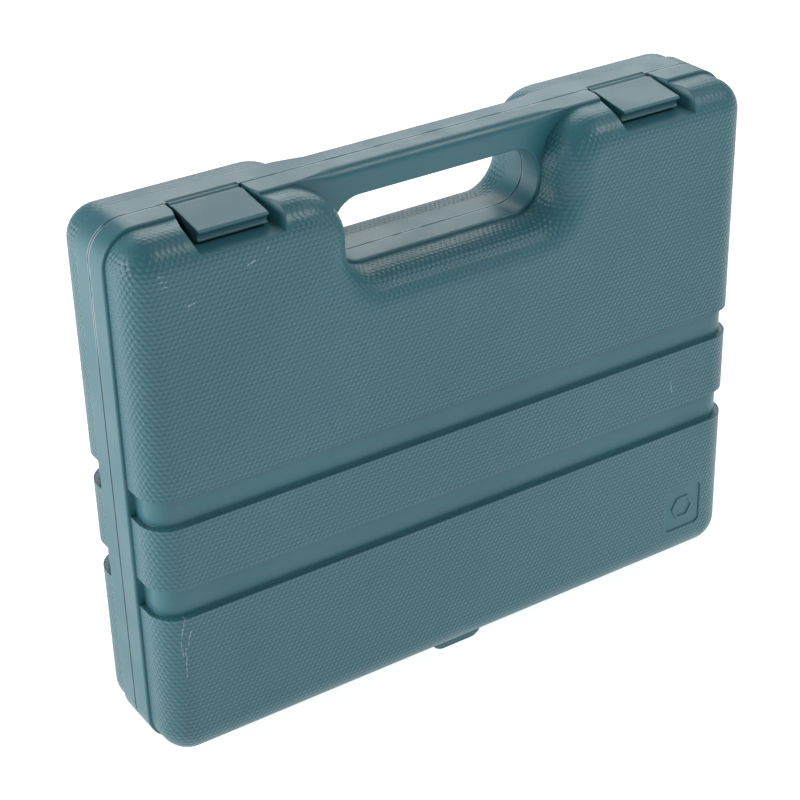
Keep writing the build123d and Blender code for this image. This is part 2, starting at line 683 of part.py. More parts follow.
def cover_screws():
    """Three identical flat-headed screws."""
    screws = []
    for x, z in SCREW_PLACES:
        shank = rod_y(SCREW_RADIUS, HEAD_FRONT, HEAD_FRONT + 7, x, z)
        head = rod_y(2.2, HEAD_FRONT - 0.1, HEAD_FRONT + 0.9, x, z)
        cross = block((x - 1.4, x + 1.4), (HEAD_FRONT - 0.2, HEAD_FRONT + 0.4), (z - 0.3, z + 0.3))
        cross += block((x - 0.3, x + 0.3), (HEAD_FRONT - 0.2, HEAD_FRONT + 0.4), (z - 1.4, z + 1.4))
        screws.append(shank + head - cross)
    return Compound(screws)


def ratchet_cover():
    """Plate closing the chamber, bored for the gear collar, the lever shaft and the screws."""
    plate = prism(pear(1.0), HEAD_FRONT, HEAD_FRONT + COVER_THICKNESS)
    plate -= rod_y(COLLAR_RADIUS + RUNNING_FIT, -20, 0, 0, 0)
    plate -= rod_y(LEVER_SHAFT + RUNNING_FIT, -20, 0, HEEL_X, 0)
    plate -= screw_holes(SCREW_RADIUS)
    plate -= [rod_y(2.2, HEAD_FRONT - 1, HEAD_FRONT + 0.9, x, z) for x, z in SCREW_PLACES]
    return plate


def gear_outline():
    """Ring of fine teeth."""
    points = []
    for step in range(2 * GEAR_TEETH):
        radius = GEAR_TIP if step % 2 else GEAR_TIP - 1.0
        angle = math.pi * step / GEAR_TEETH
        points.append((radius * math.cos(angle), radius * math.sin(angle)))
    return make_face(Polyline(*points, close=True))


def ratchet_gear():
    """Toothed gear with its journals, drive square and the bores for button, spring and ball."""
    gear = prism(gear_outline(), HEAD_FRONT + COVER_THICKNESS + 0.4, 7.6)
    gear += rod_y(COLLAR_RADIUS, HEAD_FRONT - 1.2, 0, 0, 0)
    gear += rod_y(JOURNAL_RADIUS, 0, HEAD_BACK + 0.5, 0, 0)
    square_end = HEAD_BACK + 0.5 + DRIVE_LENGTH
    gear += block((-SQUARE / 2, SQUARE / 2), (HEAD_BACK, square_end), (-SQUARE / 2, SQUARE / 2))
    gear -= rod_y(BUTTON_RADIUS + 0.35, HEAD_FRONT - 2, HEAD_FRONT + 2.0, 0, 0)
    gear -= rod_y(3.7, HEAD_FRONT - 2, HEAD_FRONT + 7.0, 0, 0)
    gear -= rod_y(STEM_RADIUS + RUNNING_FIT, HEAD_FRONT, square_end - 2, 0, 0)
    return gear - rod_x(BALL_BORE, -SQUARE, 0, HEAD_BACK + 0.5 + BALL_STEP, 0)


def ratchet_pawl():
    """Curved pawl with teeth on its inner face."""
    pawl = prism(sector(PAWL_INNER + 0.9, PAWL_OUTER, PAWL_HALF_ANGLE), -4.5, 5.0)
    teeth = []
    for step in range(-2, 3):
        angle = 360 * step / GEAR_TEETH
        root = PAWL_INNER + 1.2
        tooth = Polygon((PAWL_INNER + 0.15, 0), (root, 0.85), (root, -0.85), align=None)
        teeth.append(prism(Rot(0, 0, angle) * tooth, -4.5, 5.0))
    return pawl + teeth


def ratchet_lever():
    """Reversing lever: shaft and cam inside, thumb tab outside."""
    cam = rod_y(4.2, -7.5, 4.8, HEEL_X, 0) + rod_y(LEVER_SHAFT - 1, 4.8, 8.8, HEEL_X, 0)
    shaft = rod_y(LEVER_SHAFT, HEAD_FRONT - 0.6, -7.5, HEEL_X, 0)
    boss = rod_y(6.5, HEAD_FRONT - 3.4, HEAD_FRONT - 0.5, HEEL_X, 0)
    tab = prism(rectangle((HEEL_X, HEEL_X + 14), (-3.2, 3.2), 3.0), HEAD_FRONT - 0.5, HEAD_FRONT - 3.4)
    thumb_pad = rectangle((HEEL_X + 8.5, HEEL_X + 13.5), (-2.6, 2.6), 2.4)
    grip = prism(thumb_pad, HEAD_FRONT - 3.4, HEAD_FRONT - 5.6)
    plunger_bore = rod_x(1.3, HEEL_X - 5, HEEL_X + 1.5, 0, 0)
    return cam + shaft + boss + tab + grip - plunger_bore


def lever_plunger():
    """Pin that the lever's spring holds against the back of the pawl."""
    pin = rod_x(1.25, HEEL_X - 5.6, HEEL_X - 2.2, 0, 0)
    return fillet(pin.edges().sort_by(Axis.X)[0], 0.6)


def coil(radius, wire, pitch, height):
    """Open coil spring standing on the origin along +Z."""
    path = Helix(pitch=pitch, height=height - 2 * wire, radius=radius)
    start = path @ 0
    ring = Plane(origin=start, z_dir=path % 0) * Circle(wire)
    return Pos(0, 0, wire) * sweep(ring, path=path)


def plunger_spring():
    """Small spring behind the plunger."""
    return Pos(HEEL_X - 2.1, 0, 0) * Rot(0, 90, 0) * coil(0.85, 0.2, 0.8, 3.4)


def release_button():
    """Push button with the stem that frees the detent ball."""
    cap = rod_y(BUTTON_RADIUS, HEAD_FRONT - 3.2, HEAD_FRONT - 0.6, 0, 0)
    cap = fillet(cap.edges().sort_by(Axis.Y)[0], 0.8)
    stem = rod_y(STEM_RADIUS, HEAD_FRONT - 0.6, HEAD_BACK + BALL_STEP + 1.0, 0, 0)
    ball_hollow = Pos(-(STEM_RADIUS + 1.6), HEAD_BACK + 0.5 + BALL_STEP, 0) * Sphere(BALL_RADIUS + 0.5)
    return cap + stem - ball_hollow


def button_spring():
    """Return spring of the button, at the length it has when the button is pressed."""
    return Pos(0, HEAD_FRONT + 6.95, 0) * Rot(90, 0, 0) * coil(3.0, 0.4, 1.3, 4.7)


def ratchet_grip():
    """Ribbed sleeve over the tang."""
    length = GRIP_END - GRIP_START
    points = [(TANG_RADIUS, 0), (SHANK_RADIUS + 2, 0), (GRIP_RADIUS - 1.5, 6)]
    rib_start, rib_pitch, rib_count = 14.0, 8.0, 9
    for rib in range(rib_count):
        low = rib_start + rib * rib_pitch
        points += [(GRIP_RADIUS - 0.6, low), (GRIP_RADIUS - 1.6, low + 1), (GRIP_RADIUS - 1.6, low + 2.4),
                   (GRIP_RADIUS - 0.6, low + 3.4)]
    points += [(GRIP_RADIUS, length - 16), (GRIP_RADIUS, length - 5), (GRIP_RADIUS - 4, length)]
    points += [(0, length), (0, length - 8), (TANG_RADIUS, length - 8)]
    return Pos(GRIP_START, 0, 0) * Rot(0, 90, 0) * turned(points)


def ball_at(square_face_x, y, z):
    """Detent ball showing through a drive square's -X face."""
    return Pos(square_face_x - BALL_PROUD + BALL_RADIUS, y, z) * Sphere(BALL_RADIUS)


# ------------------------------------------------------------------ extension bars
def extension_bar(length):
    """Bar along X: drive square at the -X end, square hole in the thick +X end."""
    half = length / 2
    shoulder = DRIVE_LENGTH
    points = [(0, 0), (8.0, 0), (8.8, 0.8), (8.8, 7), (BAR_RADIUS, 10), (BAR_RADIUS, length - shoulder - 32),
              (BAR_END_RADIUS, length - shoulder - 26), (BAR_END_RADIUS, length - shoulder - 0.8),
              (BAR_END_RADIUS - 0.8, length - shoulder), (0, length - shoulder)]
    bar = Pos(-half + shoulder, 0, 0) * Rot(0, 90, 0) * turned(points)
    bar += block((-half, -half + shoulder + 1), (-SQUARE / 2, SQUARE / 2), (-SQUARE / 2, SQUARE / 2))
    hole = SQUARE_HOLE / 2
    bar -= block((half - 15, half + 1), (-hole, hole), (-hole, hole))
    return bar - rod_y(BALL_BORE, -SQUARE, 0, -half + BALL_STEP, 0)


def bar_ball(length):
    """Detent ball in the -Y face of an extension bar's square."""
    return Pos(-length / 2 + BALL_STEP, -SQUARE / 2 - BALL_PROUD + BALL_RADIUS, 0) * Sphere(BALL_RADIUS)


# ------------------------------------------------------------------ sliding T-bar


def t_bar_rod():
    """Plain round rod with chamfered ends, drilled near the ends for the stop balls."""
    rod = rod_x(T_BAR_RADIUS, -T_BAR_LENGTH / 2, T_BAR_LENGTH / 2, 0, 0)
    rod = chamfer(rod.edges(), 1.0)
    return rod - [Pos(x, -T_BAR_RADIUS + 1.0, 0) * Sphere(STOP_RADIUS) for x in t_bar_stops()]


def t_bar_stops():
    """Where the stop balls sit along the rod."""
    stop = T_BAR_TRAVEL + SLIDER_RADIUS + STOP_RADIUS + 0.6
    return (-stop, stop)


def stop_balls():
    """Balls staked into the rod that keep the slider on it."""
    return Compound([Pos(x, -T_BAR_RADIUS + 1.0, 0) * Sphere(STOP_RADIUS) for x in t_bar_stops()])


def t_bar_slider():
    """Block that runs along the rod, with the drive square at its back."""
    slider = rod_y(SLIDER_RADIUS, SLIDER_FRONT, SLIDER_BACK, 0, 0)
    slider = chamfer(slider.edges().filter_by(GeomType.CIRCLE), 1.0)
    square = (-SQUARE / 2, SQUARE / 2)
    slider += block(square, (SLIDER_BACK - 1, SLIDER_BACK + DRIVE_LENGTH - 1), square)
    slider -= rod_x(T_BAR_RADIUS + RUNNING_FIT, -20, 20, 0, 0)
    return slider - rod_x(BALL_BORE, -SQUARE, 0, SLIDER_BACK + BALL_STEP - 1, 0)


# ------------------------------------------------------------------ universal joint


def ears():
    """Two ears across X that reach up from a yoke's face at -Z to the joint's centre."""
    outline = rectangle((-EAR_HALF_WIDTH, EAR_HALF_WIDTH), (-YOKE_FACE - 1, 0)) + Circle(EAR_HALF_WIDTH)
    side_plane = Plane(origin=(-YOKE_RADIUS, 0, 0), x_dir=(0, 1, 0), z_dir=(1, 0, 0))
    solid = extrude(side_plane * outline, amount=2 * YOKE_RADIUS)
    solid -= block((-EAR_GAP, EAR_GAP), (-20, 20), (-YOKE_FACE, 20))
    solid -= rod_x(CROSS_PIN + RUNNING_FIT, -20, 20, 0, 0)
    return solid & Cylinder(YOKE_RADIUS, 2 * YOKE_TAIL)


def yoke_drive():
    """Yoke with the drive square, pointing down."""
    neck = Pos(0, 0, -(YOKE_FACE + 5)) * Cylinder(YOKE_RADIUS, 10)
    square_top = -(YOKE_FACE + 9)
    square = block((-SQUARE / 2, SQUARE / 2), (-SQUARE / 2, SQUARE / 2), (-YOKE_TAIL, square_top))
    yoke = neck + ears() + square
    return yoke - rod_y(BALL_BORE, -SQUARE, 0, 0, -YOKE_TAIL + BALL_STEP)


def yoke_ball():
    """Detent ball in the -Y face of the drive yoke's square."""
    return Pos(0, -SQUARE / 2 - BALL_PROUD + BALL_RADIUS, -YOKE_TAIL + BALL_STEP) * Sphere(BALL_RADIUS)


def yoke_socket():
    """Yoke with the square hole, pointing up; its ears stand across Y."""
    barrel_length = YOKE_HEAD - YOKE_FACE
    barrel = Pos(0, 0, YOKE_FACE + barrel_length / 2) * Cylinder(YOKE_RADIUS, barrel_length)
    turned_ears = Rot(0, 0, 90) * (Rot(180, 0, 0) * ears())
    hole = SQUARE_HOLE / 2
    return barrel + turned_ears - block((-hole, hole), (-hole, hole), (YOKE_HEAD - 14, YOKE_HEAD + 1))


def cross_block():
    """Cube between the two yokes, bored both ways."""
    cube = chamfer(Box(2 * CROSS_HALF, 2 * CROSS_HALF, 2 * CROSS_HALF).edges(), 0.8)
    return cube - rod_x(CROSS_PIN, -20, 20, 0, 0) - rod_y(CROSS_PIN, -20, 20, 0, 0)


def cross_pins():
    """One long pin across the drive yoke and two short ones across the socket yoke."""
    reach = YOKE_RADIUS - 1.4
    long_pin = rod_x(CROSS_PIN, -reach, reach, 0, 0)
    spans = [sorted((side * (CROSS_PIN + 0.1), side * reach)) for side in (-1, 1)]
    short_pins = [rod_y(CROSS_PIN, *span, 0, 0) for span in spans]
    return Compound([long_pin] + short_pins)


# ------------------------------------------------------------------ write the pieces
def main():
    os.makedirs("parts", exist_ok=True)
    save("base_shell", base_shell())
    save("base_tray", base_tray())
    save("lid_shell", lid_shell())
    save("lid_liner", lid_liner())
    save("hinge_pins", hinge_pins())
    save("latch_left", latch(-LATCH_X))
    save("latch_right", latch(LATCH_X))

    for size, diameter, length, x, z in all_sockets():
        save(f"socket_{size}", Pos(x, SOCKET_SEAT, z) * Rot(90, 0, 0) * socket(size, diameter, length))
    for size, diameter, side in PLUG_SOCKETS:
        start = Pos(side * PLUG_SOCKET_X - PLUG_SOCKET_LENGTH / 2, PLUG_SOCKET_Y, PLUG_SOCKET_Z)
        save(f"plug_socket_{size}", start * plug_socket(size, diameter))
        save(f"plug_insert_{size}", start * plug_insert(size))

    ratchet = Pos(*RATCHET_AT)
    save("ratchet_body", ratchet * ratchet_body())
    save("ratchet_grip", ratchet * ratchet_grip())
    save("ratchet_cover", ratchet * ratchet_cover())
    save("cover_screws", ratchet * cover_screws())
    save("ratchet_gear", ratchet * ratchet_gear())
    save("ratchet_pawl", ratchet * ratchet_pawl())
    save("ratchet_lever", ratchet * ratchet_lever())
    save("lever_plunger", ratchet * lever_plunger())
    save("plunger_spring", ratchet * plunger_spring())
    save("release_button", ratchet * release_button())
    save("button_spring", ratchet * button_spring())
    save("ratchet_ball", ratchet * ball_at(-SQUARE / 2, HEAD_BACK + 0.5 + BALL_STEP, 0))

    for name, place, length in (("long", LONG_BAR_AT, 250.0), ("short", SHORT_BAR_AT, 125.0)):
        save(f"extension_{name}", Pos(*place) * extension_bar(length))
        save(f"extension_{name}_ball", Pos(*place) * bar_ball(length))

    t_bar = Pos(*T_BAR_AT)
    save("t_bar_rod", t_bar * t_bar_rod())
    save("t_bar_stops", t_bar * stop_balls())
    save("t_bar_slider", t_bar * t_bar_slider())
    save("t_bar_ball", t_bar * ball_at(-SQUARE / 2, SLIDER_BACK + BALL_STEP - 1, 0))

    universal = Pos(*UNIVERSAL_AT)
    save("yoke_drive", universal * yoke_drive())
    save("yoke_ball", universal * yoke_ball())
    save("yoke_socket", universal * yoke_socket())
    save("cross_block", universal * cross_block())
    save("cross_pins", universal * cross_pins())


main()
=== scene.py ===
import json
import math

import bpy
from mathutils import Matrix, Vector

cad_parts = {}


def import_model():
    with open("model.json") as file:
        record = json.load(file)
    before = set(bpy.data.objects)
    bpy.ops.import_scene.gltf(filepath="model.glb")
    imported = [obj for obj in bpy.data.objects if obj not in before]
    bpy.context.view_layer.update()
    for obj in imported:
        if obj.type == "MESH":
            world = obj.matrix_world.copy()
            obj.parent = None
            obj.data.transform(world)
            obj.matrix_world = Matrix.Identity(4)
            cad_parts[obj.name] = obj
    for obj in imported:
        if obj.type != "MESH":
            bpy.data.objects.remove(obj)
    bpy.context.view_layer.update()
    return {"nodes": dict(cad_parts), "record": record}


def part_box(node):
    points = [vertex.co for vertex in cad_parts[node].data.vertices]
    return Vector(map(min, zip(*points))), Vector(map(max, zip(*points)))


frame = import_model()

# ---- the case, in metres
RIM_HALF = 0.0135                        # half the depth of the smooth rim
GROOVES = ((0.0910, 0.1070), (0.1403, 0.1555))
CASE_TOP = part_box("base_shell")[1].z
LATCH_MIDDLE = (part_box("latch_right")[0].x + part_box("latch_right")[1].x) / 2
POCKET_HALF = 0.0255                     # half the width of the smooth patch round a latch
POCKET_FLOOR = 0.2705
PLAQUE = ((0.1300, 0.1550), (0.0275, 0.0545))   # X and Z of the smooth sunk plaque
FACE_FROM = 0.0300                       # scuffs lie further than this from the parting plane

# ---- moulded bead grain: rows of small domes, staggered from row to row
BEAD_PITCH = 0.00272
BEAD_ROW = 0.00226
BEAD_HEIGHT = 0.00033
WAVE_RANGE = (-1.3, 2.9)                 # the summed waves run from between the domes to their tops
HOLLOW_PAINTED_SHADE = 0.09                      # painted shade: how much darker the plastic is painted between the domes
CROWN_WEAR_AND_HIGHLIGHT = 0.04                       # how much paler the domes are on top: partly rubbed wear, partly painted highlight
PLANE_SHARPNESS = 8.0                    # how fast the grain turns from one plane to the next at a corner
TOP_GRAIN = 0.3                          # how much of the grain is left on the worn top edge
TOP_BAND = (0.016, 0.006)                # the grain fades between these depths below the top

# ---- parting line
GAP_HALF = 0.00042                       # the halves' meeting faces lie this near the parting plane
FLASH_LINE = (0.0003, 0.0010)            # the pale moulding line runs this far from the plane
SEAM_CHANGE = (0.205, 0.232)             # the painted shade in the gap turns to a pale line between these heights

# ---- edges
EDGE_SOFTNESS = 0.0007                   # how far the moulded edges are rounded off in shading
LATCH_EDGE = 0.0009                      # width of the rounding on the latches' edges
LATCH_EDGE_ANGLE = math.radians(35)      # edges sharper than this are rounded

# ---- scuffs on the lid's face, each from one X-Z point to another
SCUFF_EDGE = (0.00012, 0.00042)          # a scuff fades out between these distances from its line
SCUFF_WANDER = 0.0022                    # how far a scuff strays sideways
SCUFF_LIGHT = 0.50
SCUFFS = (
    ((-0.1600, 0.2670), (-0.1565, 0.2665)),
    ((-0.1600, 0.2645), (-0.1560, 0.2640)),
    ((-0.1590, 0.2615), (-0.1560, 0.2615)),
    ((-0.1165, 0.2605), (-0.1125, 0.2620)),
    ((-0.1470, 0.2495), (-0.1425, 0.2505)),
    ((-0.1060, 0.2655), (-0.1055, 0.2665)),
    ((-0.1615, 0.0910), (-0.1640, 0.0805)),
    ((-0.1640, 0.0805), (-0.1635, 0.0705)),
    ((-0.1585, 0.0840), (-0.1620, 0.0740)),
    ((-0.1620, 0.0740), (-0.1630, 0.0585)),
    ((0.1295, 0.1250), (0.1305, 0.1165)),
)

# ---- floor
FLOOR_SIZE = 6.0
FLOOR_GREY = 0.45
FLOOR_GLOW = 0.92                        # a lit table, so the floor stays white and shadows stay faint

# ---- light: each softbox has a name, a place, the point it faces, width, height and watts
MIDDLE = (0, 0, 0.14)
SOFTBOXES = (
    ("back_sheen", (1.04, 1.55, 1.40), MIDDLE, 1.8, 1.6, 20.0),
    ("left", (-1.8, 0.7, 0.55), MIDDLE, 1.3, 1.3, 31.0),
    ("upper_front", (0.94, -0.94, 1.60), MIDDLE, 0.6, 0.6, 11.0),
)
SKY_COLOUR = (0.97, 0.98, 1.0, 1.0)
SKY_STRENGTH = 0.34

# ---- camera
CAMERA_AT = Vector((-0.4925, -0.7400, 0.6383))
CAMERA_AZIMUTH = math.radians(-32.77)
CAMERA_ELEVATION = math.radians(29.33)
CAMERA_ROLL = math.radians(-1.50)
CAMERA_LENS = 90.95
SENSOR = 36.0


# ------------------------------------------------------------------ node helpers
class Tree:
    """Short names for the nodes of one material."""

    def __init__(self, name):
        self.material = bpy.data.materials.new(name)
        self.material.use_nodes = True
        self.nodes = self.material.node_tree.nodes
        self.links = self.material.node_tree.links
        self.nodes.clear()
        self.output = self.nodes.new("ShaderNodeOutputMaterial")
        self.shader = self.nodes.new("ShaderNodeBsdfPrincipled")
        self.links.new(self.shader.outputs[0], self.output.inputs[0])

    def feed(self, socket, value):
        """Link a socket's source, or set its plain value."""
        if isinstance(value, bpy.types.NodeSocket):
            self.links.new(value, socket)
        elif value is not None:
            socket.default_value = value

    def math(self, operation, a, b=None, clamp=False):
        node = self.nodes.new("ShaderNodeMath")
        node.operation = operation
        node.use_clamp = clamp
        for socket, value in zip(node.inputs, (a, b)):
            self.feed(socket, value)
        return node.outputs[0]

    def position(self):
        """Object coordinates as three sockets."""
        coordinates = self.nodes.new("ShaderNodeTexCoord")
        split = self.nodes.new("ShaderNodeSeparateXYZ")
        self.links.new(coordinates.outputs["Object"], split.inputs[0])
        return split.outputs

    def normal(self):
        """The size of each component of the surface normal, and the signed normal."""
        coordinates = self.nodes.new("ShaderNodeTexCoord")
        split = self.nodes.new("ShaderNodeSeparateXYZ")
        self.links.new(coordinates.outputs["Normal"], split.inputs[0])
        return [self.math("ABSOLUTE", socket) for socket in split.outputs], split.outputs

    def noise(self, scale, detail=2.0, roughness=0.5, stretch=(1, 1, 1)):
        """Cloudy noise from 0 to 1; stretch below 1 draws it out along an axis."""
        coordinates = self.nodes.new("ShaderNodeTexCoord")
        mapping = self.nodes.new("ShaderNodeMapping")
        mapping.inputs["Scale"].default_value = stretch
        self.links.new(coordinates.outputs["Object"], mapping.inputs["Vector"])
        node = self.nodes.new("ShaderNodeTexNoise")
        self.links.new(mapping.outputs[0], node.inputs["Vector"])
        node.inputs["Scale"].default_value = scale
        node.inputs["Detail"].default_value = detail
        node.inputs["Roughness"].default_value = roughness
        return node.outputs["Fac"]

    def ramp(self, value, low, high, low_out=0.0, high_out=1.0):
        """Smooth step from low to high."""
        node = self.nodes.new("ShaderNodeMapRange")
        node.interpolation_type = "SMOOTHSTEP"
        limits = {"From Min": low, "From Max": high, "To Min": low_out, "To Max": high_out}
        for name, number in limits.items():
            node.inputs[name].default_value = number
        self.feed(node.inputs["Value"], value)
        return node.outputs["Result"]

    def mix(self, factor, a, b):
        node = self.nodes.new("ShaderNodeMix")
        node.data_type = "RGBA"
        self.feed(node.inputs["Factor"], factor)
        self.feed(node.inputs["A"], a)
        self.feed(node.inputs["B"], b)
        return node.outputs["Result"]

    def bump(self, height, distance, strength=1.0, normal=None):
        node = self.nodes.new("ShaderNodeBump")
        node.inputs["Strength"].default_value = strength
        node.inputs["Distance"].default_value = distance
        self.feed(node.inputs["Height"], height)
        self.feed(node.inputs["Normal"], normal)
        return node.outputs["Normal"]

    def soft_edges(self, radius):
        """Surface normal with the light's view of sharp edges rounded a little."""
        node = self.nodes.new("ShaderNodeBevel")
        node.samples = 4
        node.inputs["Radius"].default_value = radius
        return node.outputs["Normal"]

    def finish(self, colour, roughness, normal=None, **fixed):
        self.feed(self.shader.inputs["Base Color"], colour)
        self.feed(self.shader.inputs["Roughness"], roughness)
        self.feed(self.shader.inputs["Normal"], normal)
        for name, number in fixed.items():
            self.shader.inputs[name.replace("_", " ")].default_value = number
        return self.material


def rgba(colour, gain=1.0):
    """A colour with its brightness scaled, and full alpha."""
    return tuple(channel * gain for channel in colour) + (1.0,)


# ------------------------------------------------------------------ case plastic
TEAL = (0.019, 0.124, 0.156)
PALE = (0.50, 0.62, 0.65)


def bead_wave(tree, across, up):
    """Domes on a staggered lattice in one plane, 0 between them and 1 on their tops."""
    turn = 2 * math.pi
    a = tree.math("MULTIPLY", across, turn / BEAD_PITCH)
    b = tree.math("MULTIPLY", up, turn / (2 * BEAD_ROW))
    waves = [tree.math("COSINE", tree.math("ADD", a, b)),
             tree.math("COSINE", tree.math("SUBTRACT", a, b)),
             tree.math("COSINE", tree.math("MULTIPLY", b, 2.0))]
    total = tree.math("ADD", tree.math("ADD", waves[0], waves[1]), waves[2])
    return tree.ramp(total, *WAVE_RANGE)


def between(tree, value, low, high, soft=0.0006):
    """1 inside a range, 0 outside it."""
    above = tree.ramp(value, low - soft, low + soft)
    below = tree.ramp(value, high - soft, high + soft, 1.0, 0.0)
    return tree.math("MULTIPLY", above, below)


def bead_mask(tree, position, signed):
    """1 where the grain is moulded in, 0 on the rim, the pressed bands and the top."""
    x, y, z = position
    mask = tree.ramp(tree.math("ABSOLUTE", y), RIM_HALF + 0.0001, RIM_HALF + 0.0008)
    for low, high in GROOVES:
        smooth = tree.math("SUBTRACT", 1.0, between(tree, z, low, high))
        mask = tree.math("MULTIPLY", mask, smooth)
    high_up = tree.ramp(z, CASE_TOP - TOP_BAND[0], CASE_TOP - TOP_BAND[1])
    facing_up = tree.ramp(signed[2], 0.35, 0.75)
    top = tree.math("MULTIPLY", tree.math("MULTIPLY", high_up, facing_up), 1.0 - TOP_GRAIN)
    mask = tree.math("MULTIPLY", mask, tree.math("SUBTRACT", 1.0, top))
    from_latch = tree.math("ABSOLUTE", tree.math("SUBTRACT", tree.math("ABSOLUTE", x), LATCH_MIDDLE))
    beside = tree.ramp(from_latch, POCKET_HALF, POCKET_HALF + 0.001, 1.0, 0.0)
    over = tree.math("MULTIPLY", beside, tree.ramp(z, POCKET_FLOOR, POCKET_FLOOR + 0.0005))
    pocket = tree.math("MULTIPLY", over, tree.ramp(y, -0.001, 0.001, 1.0, 0.0))
    mask = tree.math("MULTIPLY", mask, tree.math("SUBTRACT", 1.0, pocket))
    (left, right), (low, high) = PLAQUE
    across = between(tree, x, left, right, 0.0002)
    plaque = tree.math("MULTIPLY", across, between(tree, z, low, high, 0.0002))
    plaque = tree.math("MULTIPLY", plaque, tree.ramp(y, -FACE_FROM - 0.001, -FACE_FROM, 1.0, 0.0))
    return tree.math("MULTIPLY", mask, tree.math("SUBTRACT", 1.0, plaque))


def beads(tree, position, sizes):
    """The bead grain laid on whichever plane the surface faces most."""
    x, y, z = position
    front = bead_wave(tree, x, z)
    side = bead_wave(tree, y, z)
    top = bead_wave(tree, x, y)
    weights = [tree.math("POWER", size, PLANE_SHARPNESS) for size in sizes]
    total = tree.math("ADD", tree.math("ADD", weights[0], weights[1]), weights[2])
    parts = [tree.math("MULTIPLY", weight, wave) for weight, wave in zip(weights, (side, front, top))]
    summed = tree.math("ADD", tree.math("ADD", parts[0], parts[1]), parts[2])
    return tree.math("DIVIDE", summed, total)


def stroke(tree, x, z, start, end):
    """1 along a thin line between two X-Z points."""
    run, rise = end[0] - start[0], end[1] - start[1]
    length = math.hypot(run, rise)
    over = tree.math("SUBTRACT", x, start[0])
    up = tree.math("SUBTRACT", z, start[1])
    dot = tree.math("ADD", tree.math("MULTIPLY", over, run), tree.math("MULTIPLY", up, rise))
    along = tree.math("DIVIDE", dot, length ** 2, clamp=True)
    off_x = tree.math("SUBTRACT", over, tree.math("MULTIPLY", along, run))
    off_z = tree.math("SUBTRACT", up, tree.math("MULTIPLY", along, rise))
    squares = tree.math("ADD", tree.math("MULTIPLY", off_x, off_x), tree.math("MULTIPLY", off_z, off_z))
    return tree.ramp(tree.math("SQRT", squares), *SCUFF_EDGE, 1.0, 0.0)


def scuffs(tree, position):
    """Broken pale strokes where the lid's face has been knocked."""
    x, y, z = position
    wander = tree.math("MULTIPLY", tree.math("SUBTRACT", tree.noise(160.0, 3.0), 0.5), SCUFF_WANDER)
    bent_x = tree.math("ADD", x, wander)
    total = 0.0
    for start, end in SCUFFS:
        total = tree.math("MAXIMUM", total, stroke(tree, bent_x, z, start, end))
    broken = tree.ramp(tree.noise(900.0, 2.0), 0.40, 0.58)
    face = tree.ramp(y, -FACE_FROM - 0.001, -FACE_FROM, 1.0, 0.0)
    return tree.math("MULTIPLY", tree.math("MULTIPLY", total, broken), face)


def seam(tree, position, colour):
    """The parting line: painted shade in the gap low down, a pale uneven moulding line along the top and
    the handle.
    """
    away = tree.math("ABSOLUTE", position[1])
    high_up = tree.ramp(position[2], *SEAM_CHANGE)
    # painted shade: the gap between the halves is darkened, less so high up where the pale line takes
    # over
    painted_gap_shade = tree.ramp(away, GAP_HALF, GAP_HALF + 0.0002, 0.85, 0.0)
    gap = tree.math("MULTIPLY", painted_gap_shade, tree.math("SUBTRACT", 1.0, tree.math("MULTIPLY", high_up, 0.85)))
    colour = tree.mix(gap, colour, rgba(TEAL, 0.05))
    uneven = tree.ramp(tree.noise(55.0, 3.0), 0.42, 0.58, 0.0, 0.5)
    line = tree.math("MULTIPLY", between(tree, away, *FLASH_LINE, 0.0003), high_up)
    return tree.mix(tree.math("MULTIPLY", line, uneven), colour, rgba(PALE))


def case_plastic(grain):
    """The teal plastic, with the moulded grain (painted shade between the domes, wear and painted
    highlight on their tops), scuffs and seam (painted shade in its gap) on the case but not on its
    latches.
    """
    tree = Tree("teal_plastic_grained" if grain else "teal_plastic_smooth")
    position = tree.position()
    sizes, signed = tree.normal()
    cloud = tree.noise(9.0, 3.0)
    colour = tree.mix(tree.ramp(cloud, 0.3, 0.7), rgba(TEAL, 0.94), rgba(TEAL, 1.07))
    speck = tree.ramp(tree.noise(900.0, 2.0), 0.60, 0.75)
    colour = tree.mix(tree.math("MULTIPLY", speck, 0.05), colour, rgba(PALE, 0.6))
    soft_edge = tree.soft_edges(EDGE_SOFTNESS)
    normal = tree.bump(tree.noise(1400.0, 2.0), 0.00004, 0.6, soft_edge)
    roughness = tree.ramp(tree.noise(35.0, 4.0), 0.3, 0.7, 0.36, 0.46)
    if grain:
        mask = bead_mask(tree, position, signed)
        wave = beads(tree, position, sizes)
        normal = tree.bump(tree.math("MULTIPLY", wave, mask), BEAD_HEIGHT, 1.0, normal)
        # painted shade: the plastic is darkened between the domes, where shade would fall
        painted_hollow_shade = tree.math("MULTIPLY", tree.math("SUBTRACT", 1.0, wave), mask)
        colour = tree.mix(tree.math("MULTIPLY", painted_hollow_shade, HOLLOW_PAINTED_SHADE), colour, rgba(TEAL, 0.45))
        # paler dome tops: partly rubbed wear, partly painted highlight
        tops = tree.math("MULTIPLY", tree.ramp(wave, 0.50, 0.95), mask)
        colour = tree.mix(tree.math("MULTIPLY", tops, CROWN_WEAR_AND_HIGHLIGHT), colour, rgba(PALE, 0.75))
        colour = tree.mix(tree.math("MULTIPLY", scuffs(tree, position), SCUFF_LIGHT), colour, rgba(PALE))
        colour = seam(tree, position, colour)
    return tree.finish(colour, roughness, normal, IOR=1.54, Sheen_Weight=0.08, Sheen_Roughness=0.5)


